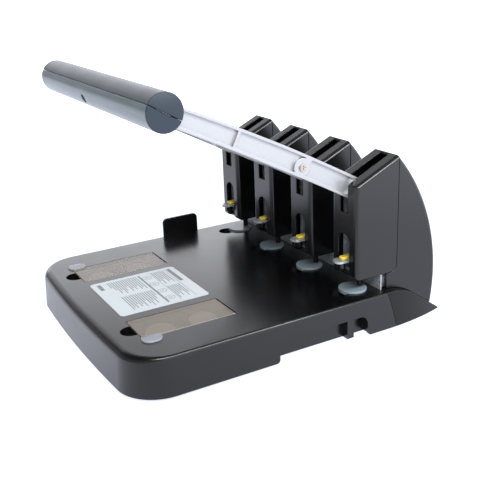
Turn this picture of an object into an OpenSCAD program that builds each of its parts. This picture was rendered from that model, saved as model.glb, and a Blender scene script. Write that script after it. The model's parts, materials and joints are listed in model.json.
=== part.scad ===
// Heavy duty paper punch: a base with four punch towers worked by one lever.
// Every module is drawn in the punch frame: X to the right, Y to the back, Z up,
// with Y = 0 on the row of punches and Z = 0 on the lower rim of the base.
// The module "place" then moves it so that the part stands on Z = 0, centred on its box.

/* [Base] */
// Width of the base at its lower rim
base_w = 302; // [294:1:330]
// Distance from the punch row to the front rim
front_reach = 274; // [268:1:300]
// Distance from the punch row to the rear tip
rear_reach = 92; // [90:0.5:96]
// Height of the deck above the lower rim
deck_h = 40.6; // [39:0.1:46]
// Thickness of the deck
deck_t = 3; // [2.6:0.1:3.6]
// Thickness of the base walls
wall_t = 2.8; // [2.2:0.1:3.4]
// How far each side wall leans in from the rim to the deck
side_draft = 1.6; // [0.5:0.1:2]
// How far the front wall leans in from the rim to the deck
front_draft = 2.4; // [1:0.1:4]
// Edge round along the sides of the deck
side_round = 2.6; // [1:0.1:4]
// Edge round along the front of the deck
front_round = 8; // [4:0.5:10]
// Plan radius of the two front corners
front_corner = 42; // [30:1:50]
// Plan radius of the bowed front
front_bow = 1800; // [1200:100:3000]
// Plan radius of the sides behind the punches
rear_bow = 290; // [260:10:400]
// Edge radius where the rear foot turns down from deck height
rear_turn_r = 60; // [50:1:70]
// Slope of the rear foot, in degrees
rear_slope = 35; // [33:0.5:36]
// Radius of the seam between base and rear foot, seen from the side
seam_r = 253; // [230:1:280]
// Distance of the seam behind the punches at deck height
seam_y = 13.6; // [13:0.1:16]
// Length of each hand hold along the side
hold_len = 106; // [90:1:112]
// Distance of the rear end of a hand hold in front of the punches
hold_back = 12; // [10:1:20]
// Height of a hand hold above the rim
hold_h = 22; // [18:1:24]
// Depth of a hand hold from the rim to its inner wall
hold_depth = 11; // [9:0.5:14]
// Height of the rubber feet below the rim
foot_h = 2; // [1.5:0.1:4]
// Radius of the rubber feet
foot_r = 8; // [6:0.5:12]
// Thickness of the steel bottom plate
plate_t = 2; // [1.5:0.1:3]

/* [Deck furniture] */
// Width of each bay lid
lid_w = 42.7; // [38:0.1:46]
// Length of each bay lid
lid_len = 98.6; // [90:0.1:102]
// Distance of the lids' back edge in front of the punches
lid_back = 139.4; // [134:0.1:144]
// Distance of a lid's centre line from the middle of the base
lid_x = 82.45; // [78:0.05:88]
// Thickness of the lids
lid_t = 2; // [1.6:0.1:2.2]
// Depth of each bay below the deck top
bay_depth = 10.6; // [8:0.1:14]
// Length of the finger tab on a lid's side
lid_tab_len = 20; // [14:0.5:24]
// How far the finger tab reaches out from the lid
lid_tab_w = 12.8; // [8:0.1:16]
// Radius of the finger notch in front of a lid
lid_notch_r = 10.5; // [8:0.5:12]
// Width of the instruction label
label_w = 95.6; // [80:0.1:100]
// Length of the instruction label
label_len = 98.9; // [80:0.1:102]
// Thickness of the instruction label
label_t = 0.3; // [0.2:0.05:0.5]
// Width of the paper guide along the side of the base
guide_w = 48; // [40:1:52]
// Height of the paper guide above the deck
guide_h = 23; // [16:0.5:30]
// Thickness of the paper guide
guide_t = 3; // [2:0.1:4]
// Distance of the guide's middle in front of the punches
guide_y = 80; // [74:1:86]
// Length of the guide's slider under the deck
guide_reach = 112; // [90:1:120]
// Width of the guide's slider
slider_w = 30; // [24:1:34]
// Thickness of the guide's slider
slider_t = 2.4; // [1.8:0.1:3]

/* [Punches] */
// Distance between neighbouring punches
hole_pitch = 80; // [80:1:84]
// Diameter of the punched hole
hole_d = 6; // [5:0.1:6.4]
// Travel of the punches
stroke = 22; // [20:0.5:23]
// Diameter of a cutting disc
disc_d = 29.5; // [26:0.5:32]
// Thickness of a cutting disc
disc_t = 3.9; // [3:0.1:4.5]
// How far a disc stands above the deck
disc_proud = 2; // [1:0.1:2.5]
// Distance of a disc's middle in front of the punches
disc_y = 9; // [8:0.1:9.5]
// Radius of the thumb notch beside each disc
thumb_r = 10; // [8:0.5:11]
// Thickness of the release slide
tongue_t = 2.2; // [2:0.1:3]
// Width of the release slide
tongue_w = 14; // [12:0.1:14.4]
// How far the release slide reaches in front of its tower
tongue_out = 12; // [8:0.5:14]
// Height of the release slide's underside above the deck
tongue_z = 33.4; // [31:0.1:34]
// How far a release slide pulls out
release_pull = 8; // [6:0.5:9]

/* [Towers] */
// Width of a tower
tower_w = 41.2; // [40:0.1:44]
// Wall of the towers and rear covers
tower_wall = 2.5; // [2:0.1:3]
// Distance of the tower front in front of the punches
tower_front = 20.5; // [20:0.1:24]
// Height of the paper throat under the towers
throat_h = 17.4; // [16.5:0.1:18]
// Height of the towers' front top edge above the deck
tower_front_h = 116; // [114:0.5:124]
// Height of the towers' ridge above the deck
ridge_h = 140; // [138:0.5:148]
// Distance of the ridge behind the punches
ridge_y = 32; // [31:0.1:33]
// Radius of the towers' upright front corners
tower_corner = 5; // [3:0.5:7]
// Radius of the towers' upper edges
tower_top_r = 4.6; // [3:0.1:5]
// Radius of the towers' front top edge
tower_brow_r = 4; // [2:0.1:6]
// Radius of the rear covers' back, seen from the side
cover_r = 200; // [196:1:206]
// Width of the lever slot
slot_w = 13; // [12.4:0.1:15]
// Height of the bottom of the lever slot above the deck
slot_low = 85.4; // [80:0.1:90]
// Distance of the slot's upper end behind the punches
slot_end = 30; // [29.4:0.1:30.6]
// Width of the arched window
arch_w = 18; // [17:0.1:20]
// Height of the top of the arched window above the deck
arch_top = 63.2; // [62:0.1:66]
// Inner width of the steel frames
frame_in = 21; // [20.4:0.1:22]
// Thickness of the steel frames' sheet
frame_t = 2.5; // [2:0.1:3]

/* [Lever] */
// Distance of the lever's pivot behind the punches
pivot_y = 25; // [24.5:0.1:25.5]
// Height of the lever's pivot above the deck
pivot_h = 89.4; // [89:0.1:90]
// Diameter of the pivot pins
pivot_d = 8; // [6:0.5:9]
// Distance of the grip's middle in front of the punches
grip_y = 218; // [200:1:220]
// Height of the grip's middle above the deck
grip_h = 214.4; // [208:0.1:220]
// Diameter of the grip
grip_d = 34.4; // [32:0.1:40]
// Length of the grip
grip_len = 292; // [284:1:294]
// Wall of the grip shells
grip_wall = 3.8; // [3:0.1:4.2]
// Diameter of the steel core of the grip
core_d = 14; // [10:0.5:15]
// Thickness of the lever arms
arm_t = 10; // [8:0.1:10.4]
// Height of the arms near the towers
arm_h = 22.2; // [20:0.1:23]
// Height of the arms at the grip
arm_end_h = 18.6; // [16:0.1:19]
// How far the arms turn along their length, in degrees
arm_turn = 5.2; // [3:0.1:6]
// Width of the rims round the arms' hollows
arm_rim = 2.8; // [2:0.1:3.4]
// Thickness of the web between the hollows
arm_web = 4; // [3:0.1:5]
// Diameter of the drive pins
drive_d = 6; // [5:0.1:6.4]
// Diameter of the tie rod
tie_d = 9; // [8:0.1:10]
// Radius of the boss round the tie rod
tie_boss_r = 9.2; // [8:0.1:9.6]

/* [Fits] */
// Radial clearance of parts that run on pins
run_gap = 0.05; // [0.02:0.01:0.1]
// Radial clearance of parts that are pressed on or screwed in
press_gap = 0.02; // [0.01:0.01:0.04]
// Clearance between parts that slide past each other
slip_gap = 0.3; // [0.2:0.05:0.4]
// Visible gap along the seams of the mouldings
seam_gap = 0.4; // [0.3:0.05:0.6]

/* [Hidden] */
$fn = 64;

// Colours as the photograph shows them
shell_c = [0.13, 0.13, 0.14];
black_c = [0.04, 0.04, 0.045];
grip_c = [0.25, 0.30, 0.34];
zinc_c = [0.66, 0.68, 0.68];
steel_c = [0.55, 0.56, 0.58];
cast_c = [0.86, 0.88, 0.89];
brass_c = [0.78, 0.66, 0.40];
bronze_c = [0.62, 0.45, 0.25];
disc_c = [0.45, 0.49, 0.52];
lid_c = [0.70, 0.66, 0.58, 0.6];
label_c = [0.88, 0.92, 0.93];
yellow_c = [0.95, 0.78, 0.08];
rubber_c = [0.08, 0.08, 0.08];

// Places that several pieces share
tower_x = [for (i = [0:3]) (i - 1.5) * hole_pitch];
bay_sides = [-1, 1];
deck_in = deck_h - deck_t;
rim_half = base_w / 2;
plate_z = 1;
plate_top = plate_z + plate_t;
side_straight = 15;
layer = 0.01;
over = 1;
far = 400;

// Heights above the rim
tower_low = deck_h + throat_h;
front_top = deck_h + tower_front_h;
ridge_z = deck_h + ridge_h;
pivot_z = deck_h + pivot_h;
grip_z = deck_h + grip_h;
tongue_low = deck_h + tongue_z;
tongue_top = tongue_low + tongue_t;
arch_z = deck_h + arch_top;
slot_z = deck_h + slot_low;
disc_top = deck_h + disc_proud;
disc_low = disc_top - disc_t;

// Lever: the angle that lifts the drive pins by the stroke, half below and half above level
lever_swing = 48;
drive_r = stroke / 2 / sin(lever_swing / 2);
drive_y = pivot_y - drive_r * cos(lever_swing / 2);
drive_z = pivot_z - drive_r * sin(lever_swing / 2);
drive_sway = drive_r * (1 - cos(lever_swing / 2));
drive_len = 19;
lobe_wall = 4;
lobe_r = drive_d / 2 + lobe_wall;

// The arms' centre line is an arc from the pivot to the grip
arm_dy = grip_y + pivot_y;
arm_dz = grip_z - pivot_z;
arm_chord = norm([arm_dy, arm_dz]);
arm_r = arm_chord / 2 / sin(arm_turn / 2);
arm_start = atan2(arm_dz, -arm_dy) - arm_turn / 2;
function arm_heading(t) = arm_start + arm_turn * t;
arm_centre = [pivot_y, pivot_z] + arm_r * [cos(arm_start + 90), sin(arm_start + 90)];
function arm_at(t, off) =
    arm_centre + (arm_r + off) * [cos(arm_heading(t) - 90), sin(arm_heading(t) - 90)];
taper_from = 0.5;
function arm_half(t) =
    arm_h / 2 - (arm_h - arm_end_h) / 2 * max(0, t - taper_from) / (1 - taper_from);
arm_steps = 18;
tie_t = 0.404;
tie_off = -1.5;
tie_edge = 1;
neck_back = 0.02;
tie_at = arm_at(tie_t, tie_off);
rib_t = 0.69;
rib_w = 3;
hollow_from = 0.189;
hollow_to = 0.97;
run_out_r = 6;
run_out_dip = 0.15;
run_out_in = 0.2;
run_out_t = run_out_r / (arm_r * arm_turn * PI / 180);
hub_r = 9;
eye_wall = 4;
eye_r = core_d / 2 + eye_wall;

// Frames, plungers and what runs in them
plunger_gap = 0.4;
slide_gap = 0.2;
cheek_in = arm_t + 2 * plunger_gap;
cheek_t = 3;
plunger_w = cheek_in + 2 * cheek_t;
plunger_d = 16;
plunger_block = 14;
frame_out = frame_in + 2 * frame_t;
frame_front = 11.6;
frame_leg = 19;
frame_web = 45;
frame_over = 20;
frame_top = pivot_z + frame_over;
guide_plate = 3.5;
guide_low = tower_low + tower_wall;
guide_top = guide_low + guide_plate;
bush_wall = 2;
bush_rim = 1.5;
bush_room = 2.5;
bush_r = hole_d / 2 + bush_wall;
bush_flange = 1;
neck_step = 0.8;
pin_neck_r = hole_d / 2 - neck_step;
pin_head = 6;
toe_h = 1.2;
flange_w = 13;

// Screws are all of one kind
screw_r = 1.9;
screw_len = 11;
screw_head_r = 3.6;
screw_head = 1.8;
screw_gap = 0.3;
screw_well_t = 2.4;
screw_well_gap = 1;
screw_wall = 1.6;
boss_r = 5;
cross_w = 1;
cross_len = 4.4;
cross_depth = 1;

// A list of points along an arc
function arc(c, r, a0, a1, n = 8) =
    [for (i = [0:n]) let (a = a0 + (a1 - a0) * i / n) c + r * [cos(a), sin(a)]];

// The same points in the opposite order
function reversed(p) = [for (i = [len(p) - 1:-1:0]) p[i]];

// Moves a piece from the punch frame to the part's own frame
module place() translate([0, (front_reach - rear_reach) / 2, foot_h]) children();

// Turns a side view, drawn as (y, z), into a solid of width w about x
module along_x(w, x = 0) translate([x, 0, 0]) rotate([90, 0, 90]) linear_extrude(w, center = true) children();

// A round bar along X from x0 to x1
module bar_x(r, x0, x1) translate([x0, 0, 0]) rotate([0, 90, 0]) cylinder(r = r, h = x1 - x0);

// A plan view square with four round corners
module round_square(w, d, r) {
    square([w - 2 * r, d], center = true);
    square([w, d - 2 * r], center = true);
    for (sx = [-1, 1], sy = [-1, 1]) translate([sx * (w / 2 - r), sy * (d / 2 - r)]) circle(r);
}

// Base outline
// How far a round of radius r has moved in at a distance d below its top
function round_in(r, d) = d >= r ? 0 : r - sqrt(r * r - (r - d) * (r - d));
function half_at(z) = rim_half - side_draft * z / deck_h - round_in(side_round, deck_h - z);
function front_at(z) = front_reach - front_draft * z / deck_h - round_in(front_round, deck_h - z);
function corner_at(z) = front_corner - (rim_half - half_at(z) + front_reach - front_at(z)) / 2;

// Right half of the outline, from the rear to the front
function side_x(half, y) = half - rear_bow + sqrt(rear_bow * rear_bow - pow(max(0, y - side_straight), 2));
function half_outline(half, front, corner, rear) =
    let (
        cx = half - corner,
        cy = front_bow - front - sqrt(pow(front_bow - corner, 2) - cx * cx),
        turn = atan2(cy - front_bow + front, cx),
        rear_steps = 8,
        bow_steps = 6
    )
    concat(
        [for (i = [0:rear_steps])
            let (y = rear + (side_straight - rear) * i / rear_steps) [side_x(half, y), y]],
        arc([cx, cy], corner, 0, turn, 12),
        [for (i = [1:bow_steps])
            let (a = turn + (-90 - turn) * i / bow_steps)
            [front_bow * cos(a), front_bow - front + front_bow * sin(a)]]
    );
function outline(half, front, corner, rear) =
    let (p = half_outline(half, front, corner, rear))
    concat(p, [for (i = [len(p) - 2:-1:0]) [-p[i][0], p[i][1]]]);

// The whole base as one solid, with its drafts and edge rounds
module base_body() {
    levels = 8;
    hull() {
        linear_extrude(layer) polygon(outline(half_at(0), front_at(0), corner_at(0), rear_reach));
        for (i = [0:levels]) {
            z = deck_h - front_round * (1 - sin(90 * i / levels));
            translate([0, 0, z - layer])
                linear_extrude(layer) polygon(outline(half_at(z), front_at(z), corner_at(z), rear_reach));
        }
    }
}

// The space inside the base walls, up to a height
module base_space(top) {
    hull() for (z = [0, top]) {
        in = wall_t + (z == 0 ? 0 : side_draft * z / deck_h);
        translate([0, 0, z == 0 ? -over : z - layer]) linear_extrude(layer)
            polygon(outline(rim_half - in, front_reach - in, front_corner - in, rear_reach - wall_t));
    }
}

// The seam between base and rear foot is part of a large cylinder
seam_drop = 90;
seam_centre = [seam_y - sqrt(seam_r * seam_r - seam_drop * seam_drop), deck_h - seam_drop];
module seam_body(gap) {
    translate([0, seam_centre[0], seam_centre[1]])
        rotate([0, 90, 0]) cylinder(r = seam_r + gap, h = far, center = true, $fn = 180);
}

// Top line of the rear foot, lowered by a distance measured square to it
rear_flat = 17;
function foot_line(down) =
    let (
        c = [rear_flat, deck_h - rear_turn_r],
        turned = arc(c, rear_turn_r - down, 90, 90 - rear_slope, 8),
        last = turned[len(turned) - 1],
        y = rear_reach + over
    )
    concat(turned, [[y, last[1] - (y - last[0]) * tan(rear_slope)]]);
module foot_profile(down) {
    front = -seam_y - over;
    polygon(concat([[front, deck_h - down]], foot_line(down), [[rear_reach + over, -far], [front, -far]]));
}

// Hand hold: the outline cut out of a side wall, and its liner
hold_mid = -hold_back - hold_len / 2;
hold_corner = 9;
hold_foot = 4;
liner_t = 1.6;
liner_low = plate_z;
liner_x = rim_half - hold_depth;
module hold_shape() {
    half = hold_len / 2;
    translate([0, -over]) square([hold_len - 2 * hold_corner, 2 * (hold_h + over)], center = true);
    translate([-half, -hold_h]) square([hold_len, 2 * hold_h - hold_corner]);
    for (s = [-1, 1]) {
        translate([s * (half - hold_corner), hold_h - hold_corner]) circle(hold_corner);
        difference() {
            translate([s * half - hold_foot, -hold_foot]) square(2 * hold_foot);
            translate([s * (half + hold_foot), hold_foot]) circle(hold_foot);
        }
    }
}
module hold_cut(side) {
    translate([side * (liner_x + far / 2), hold_mid, 0]) rotate([90, 0, 90])
        linear_extrude(far, center = true) hold_shape();
}
post_y = -32;
post_w = 8;
post_in = 3;
module hold_liner(side) {
    long = hold_len + 2 * hold_foot;
    out = rim_half - side_draft - wall_t / 2;
    high = deck_in + layer - liner_low;
    translate([side * (liner_x - liner_t / 2), hold_mid, liner_low + high / 2])
        cube([liner_t, long, high], center = true);
    for (s = [-1, 1]) {
        y = hold_mid + s * (long - liner_t) / 2;
        translate([side * (liner_x - liner_t + out) / 2, y, liner_low + high / 2])
            cube([out - liner_x + liner_t, liner_t, high], center = true);
    }
    translate([side * (liner_x + out) / 2, post_y, liner_low + high / 2])
        cube([out - liner_x, post_w, high], center = true);
}

// Bays: a tray under the deck, the recess for the lid and the finger notch
lid_ledge = 1.4;
lid_gap = 0.8;
lid_corner = 1.5;
tray_t = 2;
bay_floor = deck_h - bay_depth;
lid_mid = -lid_back - lid_len / 2;
lid_front = -lid_back - lid_len;
notch_out = 4;
notch_mid = lid_front - notch_out;
notch_under = 4;
notch_rise = 1.6;
notch_floor = bay_floor + notch_rise;
tab_behind = 6.6;
tab_mid = lid_front + tab_behind;
tab_proud = 1.4;
tab_root = 4;
tab_round = 8;
tab_straight = 0.4;
// The tab's corner round, limited by the tab's own size
tab_corner = min(tab_round, (lid_tab_w + tab_root) / 2 - tab_straight, lid_tab_len / 2 - tab_straight);
tab_lift = 0.5;
tab_low = deck_h - lid_t + tab_lift;
// Plan view of a lid's finger tab, grown by a gap for its recess
module tab_shape(side, gap) translate([side * (lid_x + (lid_w + lid_tab_w - tab_root) / 2), tab_mid])
    round_square(lid_tab_w + tab_root + 2 * gap, lid_tab_len + 2 * gap, tab_corner + gap);
module bay_tray(side) {
    high = deck_in + layer - bay_floor + tray_t;
    translate([side * lid_x, lid_mid, bay_floor - tray_t + high / 2])
        cube([lid_w + 2 * tray_t - lid_ledge, lid_len + 2 * tray_t - lid_ledge, high], center = true);
    translate([side * lid_x, notch_mid, notch_floor - tray_t])
        cylinder(r = lid_notch_r + tray_t, h = deck_in + layer - notch_floor + tray_t);
}
module bay_cut(side) {
    translate([side * lid_x, lid_mid, bay_floor + far / 2])
        cube([lid_w - 2 * lid_ledge, lid_len - 2 * lid_ledge, far], center = true);
    translate([side * lid_x, lid_mid, deck_h - lid_t]) linear_extrude(far)
        round_square(lid_w + 2 * lid_gap, lid_len + 2 * lid_gap, lid_corner + lid_gap);
    translate([side * lid_x, notch_mid, notch_floor])
        cylinder(r = lid_notch_r, h = far);
    translate([side * lid_x - lid_notch_r, notch_mid, notch_floor])
        cube([2 * lid_notch_r, lid_front + notch_under - notch_mid, far]);
    translate([0, 0, tab_low - slip_gap]) linear_extrude(far) tab_shape(side, slip_gap);
    translate([0, lid_axis_y, lid_axis_z])
        bar_x(lid_pin_r + run_gap, side * lid_x - lid_w / 2 - lid_pin_len - slip_gap,
            side * lid_x + lid_w / 2 + lid_pin_len + slip_gap);
}
lid_axis_y = -lid_back - lid_t / 2;
lid_axis_z = deck_h - lid_t / 2;
lid_pin_r = 0.7;
lid_pin_len = 1.8;

// Seats of the cutting discs
disc_gap = 0.3;
spigot_r = 2.5;
spigot_h = 2;
seat_h = 4.6;
seat_wall = 3;
thumb_wall = 2;
thumb_out = 4.3;
thumb_y = disc_y + disc_d / 2 + thumb_out;
thumb_depth = 4.4;
module disc_seat(x) {
    translate([x, -disc_y, deck_in - seat_h]) cylinder(r = disc_d / 2 + seat_wall, h = seat_h + layer);
    translate([x, -thumb_y, deck_in - seat_h]) cylinder(r = thumb_r + thumb_wall, h = seat_h + layer);
}
module disc_seat_cut(x) {
    difference() {
        translate([x, -disc_y, disc_low]) cylinder(r = disc_d / 2 + disc_gap, h = far);
        translate([x, -disc_y, disc_low - layer]) cylinder(r = spigot_r, h = spigot_h + layer);
    }
    translate([x, -thumb_y, deck_h - thumb_depth]) cylinder(r = thumb_r, h = far);
}

// Runner of the paper guide under the deck, and the gap in the left wall
guide_inset = 0.8;
guide_below = 5;
guide_face = rim_half - guide_inset;
guide_low_z = deck_in - slider_t - guide_below;
runner_t = 1.6;
slider_top = deck_in - slip_gap;
runner_short = 10;
runner_in = 6;
runner_len = guide_reach - runner_short;
module guide_runner() {
    low = slider_top - slider_t - slip_gap - runner_t;
    lip = 3;
    x = guide_face - guide_t - runner_in - runner_len / 2;
    for (s = [-1, 1]) {
        translate([-x, -guide_y + s * (slider_w / 2 + slip_gap + runner_t / 2), (low + deck_in + layer) / 2])
            cube([runner_len, runner_t, deck_in + layer - low], center = true);
        translate([-x, -guide_y + s * (slider_w / 2 + slip_gap + runner_t - lip / 2), low + runner_t / 2])
            cube([runner_len, lip, runner_t], center = true);
    }
}
module guide_cut() {
    translate([-guide_face - over, -guide_y - guide_w / 2 - slip_gap, guide_low_z - slip_gap])
        cube([guide_t + over + slip_gap, guide_w + 2 * slip_gap, far]);
    inside = -guide_face + guide_t;
    through = liner_t - liner_x - inside + 2 * over;
    translate([inside - over, -guide_y - slider_w / 2 - slip_gap, slider_top - slider_t - slip_gap])
        cube([through, slider_w + 2 * slip_gap, slider_t + 2 * slip_gap]);
}

// Screw places: base bosses, rear bosses and the feet of the frames
foot_front = 40;
foot_rear = 34;
foot_side = 28;
screw_side = 23;
screw_mid = 30;
screw_behind = 34;
base_screw_x = [screw_mid, rim_half - screw_side];
base_screw_y = [-front_reach + foot_front + screw_behind, -45];
rear_screw_y = 45;
frame_screw_y = [26, 38];
base_screws = concat(
    [for (sx = [-1, 1], y = base_screw_y, x = base_screw_x) [sx * x, y]],
    [for (x = [-1, 0, 1]) [x * hole_pitch, rear_screw_y]]
);
front_screws = [for (s = base_screws) if (s[1] < 0) s];
rear_screws = [for (s = base_screws) if (s[1] > 0) s];
frame_screws = [for (x = tower_x, sx = [-1, 1], y = frame_screw_y)
    [x + sx * (frame_out + flange_w) / 2, y]];
cover_screw_up = [6, 60];
cover_screw_z = [for (up = cover_screw_up) tower_low + up];
cover_seat_d = 6;
cover_seat = frame_web + cover_seat_d;

// A cross head screw, its head resting on Z = 0 and its shank pointing up
module screw() {
    difference() {
        union() {
            cylinder(r = screw_r, h = screw_len);
            translate([0, 0, -screw_head]) cylinder(r = screw_head_r, h = screw_head);
        }
        for (a = [0, 90]) rotate([0, 0, a]) translate([0, 0, -screw_head])
            cube([cross_len, cross_w, 2 * cross_depth], center = true);
    }
}

// Base and what it carries
module base_shell() color(shell_c) place() difference() {
    union() {
        difference() {
            intersection() {
                base_body();
                seam_body(-seam_gap / 2);
            }
            base_space(deck_in);
        }
        for (s = bay_sides) {
            hold_liner(s);
            bay_tray(s);
        }
        for (x = tower_x) disc_seat(x);
        guide_runner();
        for (s = front_screws) translate([s[0], s[1], plate_top])
            cylinder(r = boss_r, h = deck_in + layer - plate_top);
    }
    for (s = bay_sides) {
        difference() {
            hold_cut(s);
            hold_post(s);
        }
        bay_cut(s);
    }
    for (x = tower_x) disc_seat_cut(x);
    guide_cut();
    for (s = front_screws) translate([s[0], s[1], plate_z])
        cylinder(r = screw_r + press_gap, h = screw_len + over);
}
module hold_post(side) {
    out = rim_half - post_in;
    translate([side * (liner_x + out) / 2, post_y, liner_low + hold_h / 2])
        cube([out - liner_x, post_w, hold_h], center = true);
}

module rear_foot() color(shell_c) place() difference() {
    union() {
        difference() {
            intersection() {
                base_body();
                along_x(far) foot_profile(0);
            }
            seam_body(seam_gap / 2);
            intersection() {
                base_space(deck_in);
                along_x(far) foot_profile(deck_t);
            }
        }
        intersection() {
            for (s = rear_screws) translate([s[0], s[1], plate_top]) cylinder(r = boss_r, h = deck_h);
            along_x(far) foot_profile(deck_t / 2);
        }
    }
    for (x = tower_x) translate([x, (frame_leg + frame_web) / 2, deck_h / 2])
        cube([frame_out + 2 * slip_gap, frame_web - frame_leg + 2 * slip_gap, far], center = true);
    for (s = rear_screws) translate([s[0], s[1], plate_z])
        cylinder(r = screw_r + press_gap, h = screw_len + over);
}

plate_short = 12;
module bottom_plate() color(zinc_c) place() {
    in = wall_t + side_draft * plate_top / deck_h + slip_gap;
    rear = rear_reach - plate_short;
    difference() {
        translate([0, 0, plate_z]) linear_extrude(plate_t) difference() {
            polygon(outline(rim_half - in, front_reach - in, front_corner - in, rear));
            for (s = [-1, 1]) translate([s * (liner_x - liner_t + far / 2), hold_mid])
                square([far + 2 * slip_gap, hold_len + 2 * hold_foot + 2 * slip_gap], center = true);
        }
        for (s = concat(base_screws, frame_screws)) translate([s[0], s[1], 0])
            cylinder(r = screw_r + screw_gap, h = far, center = true);
    }
}

foot_places = [for (sx = [-1, 1], y = [-front_reach + foot_front, rear_reach - foot_rear])
    [sx * (rim_half - foot_side), y]];
module rubber_feet() color(rubber_c) place() {
    for (f = foot_places) translate([f[0], f[1], -foot_h]) cylinder(r = foot_r, h = foot_h + plate_z);
}

module case_screws() color(steel_c) place() {
    for (s = concat(base_screws, frame_screws)) translate([s[0], s[1], plate_z]) screw();
    for (x = tower_x, z = cover_screw_z) translate([x, cover_seat, z]) rotate([90, 0, 0]) screw();
}

stop_t = 1.5;
stop_y = seam_y - seam_gap - stop_t;
stop_end = 5.5;
stop_half = tower_x[3] + frame_out / 2 + stop_t + stop_end;
lug_len = 17;
lug_h = 12;
module back_stop() color(zinc_c) place() {
    high = throat_h - seam_gap;
    translate([-stop_half, stop_y, deck_h]) cube([2 * stop_half, stop_t, high]);
    for (x = tower_x, s = [-1, 1])
        translate([x + s * (frame_out + stop_t) / 2, stop_y + lug_len / 2, deck_h + high - lug_h / 2])
            cube([stop_t, lug_len, lug_h], center = true);
}

label_corner = 4;
module instruction_label() color(label_c) place() {
    translate([0, -lid_back - lid_len / 2, deck_h]) linear_extrude(label_t)
        round_square(label_w, label_len, label_corner);
}

module plain_disc(x, y, z) translate([x, y, z]) difference() {
    cylinder(r = disc_d / 2, h = disc_t);
    translate([0, 0, -layer]) cylinder(r = spigot_r + run_gap, h = spigot_h + disc_gap);
}
spare_step = 46;
module spare_discs() color(disc_c) place() {
    for (s = bay_sides, k = [-1, 1]) plain_disc(s * lid_x, lid_mid + k * spare_step / 2, bay_floor);
}

module bay_lid(side) color(lid_c) place() {
    low = deck_h - lid_t;
    flat = lid_len - lid_t / 2;
    translate([side * lid_x, lid_front + flat / 2, low]) linear_extrude(lid_t) {
        round_square(lid_w, flat, lid_corner);
        translate([-lid_w / 2, 0]) square([lid_w, flat / 2]);
    }
    translate([side * lid_x, lid_axis_y, lid_axis_z]) {
        bar_x(lid_t / 2, -lid_w / 2, lid_w / 2);
        bar_x(lid_pin_r, -lid_w / 2 - lid_pin_len, lid_w / 2 + lid_pin_len);
    }
    translate([0, 0, tab_low]) linear_extrude(deck_h + tab_proud - tab_low) tab_shape(side, 0);
}
module bay_lid_left() bay_lid(-1);
module bay_lid_right() bay_lid(1);

guide_corner = 6;
module paper_guide() color(black_c) place() {
    top = deck_h + guide_h;
    translate([-guide_face + guide_t / 2, -guide_y, 0]) rotate([90, 0, 90])
        linear_extrude(guide_t, center = true) {
            translate([-guide_w / 2, guide_low_z]) square([guide_w, top - guide_corner - guide_low_z]);
            translate([-guide_w / 2 + guide_corner, guide_low_z])
                square([guide_w - 2 * guide_corner, top - guide_low_z]);
            for (s = [-1, 1]) translate([s * (guide_w / 2 - guide_corner), top - guide_corner])
                circle(guide_corner);
        }
    translate([-guide_face + guide_t - layer, -guide_y - slider_w / 2, slider_top - slider_t])
        cube([guide_reach, slider_w, slider_t]);
}

module cutting_disc(i) color(disc_c) place() plain_disc(tower_x[i], -disc_y, disc_low);

// Towers
// Slope of the tower tops
top_slope = atan2(ridge_z - front_top, ridge_y + tower_front);
function top_at(y, down) = front_top + (y + tower_front) * tan(top_slope) - down / cos(top_slope);
tower_foot_r = 5;
tower_heel_r = 8;

// Side view of a tower, moved in by t, with its back at "back"
module tower_side(t, back) {
    front = -tower_front + t;
    low = tower_low + t;
    foot = max(tower_foot_r - t, 1);
    brow = max(tower_brow_r - t, 1);
    polygon(concat(
        arc([front + foot, low + foot], foot, 180, 270, 6),
        back > ridge_y ? [[back, low]] :
            arc([back - tower_heel_r, low + tower_heel_r], tower_heel_r, -90, 0, 8),
        [[back, top_at(back, t)]],
        arc([front + brow, top_at(front + brow, t + brow)], brow, 90 + top_slope, 180, 8)
    ));
}
// Plan view of a tower, moved in by t
module tower_plan(t, back) {
    half = tower_w / 2 - t;
    r = max(tower_corner - t, 1);
    front = -tower_front + t;
    translate([-half, front + r]) square([2 * half, back - front - r]);
    translate([-half + r, front]) square([2 * (half - r), back - front]);
    for (s = [-1, 1]) translate([s * (half - r), front + r]) circle(r);
}
module tower_body(t, back) intersection() {
    along_x(far) tower_side(t, back);
    linear_extrude(far) tower_plan(t, back);
}
// Everything below the sloped top and its two rounded edges
module under_top() translate([0, -tower_front, front_top]) rotate([90 + top_slope, 0, 0])
    linear_extrude(far, center = true) translate([0, -far / 2]) round_square(tower_w, far, tower_top_r);
side_boss_y = 15;
side_boss_low = 16;
side_boss_high = 12;
boss_places = [[side_boss_y, tower_low + side_boss_low], [side_boss_y, pivot_z + side_boss_high]];
side_boss_r = 4;
module punch_housing(i) color(shell_c) place() translate([tower_x[i], 0, 0]) difference() {
    union() {
        difference() {
            intersection() {
                tower_body(0, ridge_y);
                under_top();
            }
            tower_body(tower_wall, ridge_y + over);
        }
        for (b = boss_places, s = [-1, 1]) translate([0, b[0], b[1]])
            bar_x(side_boss_r, s > 0 ? frame_out / 2 : -tower_w / 2 + tower_wall - layer,
                s > 0 ? tower_w / 2 - tower_wall + layer : -frame_out / 2);
    }
    translate([-slot_w / 2, -tower_front - over, slot_z])
        cube([slot_w, slot_end + tower_front + over, far]);
    translate([0, -tower_front, arch_z - arch_w / 2]) rotate([90, 0, 0])
        cylinder(r = arch_w / 2, h = 2 * tower_wall + over, center = true);
    translate([-arch_w / 2, -tower_front - over, tower_low - over])
        cube([arch_w, tower_foot_r + over, arch_z - arch_w / 2 - tower_low + over]);
    translate([0, 0, tower_low - over]) cylinder(r = bush_r + bush_room, h = tower_wall + 2 * over);
    translate([-frame_out / 2 - slip_gap, frame_leg - slip_gap, tower_low - over])
        cube([frame_out + 2 * slip_gap, far, tower_wall + over + layer]);
}

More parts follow.
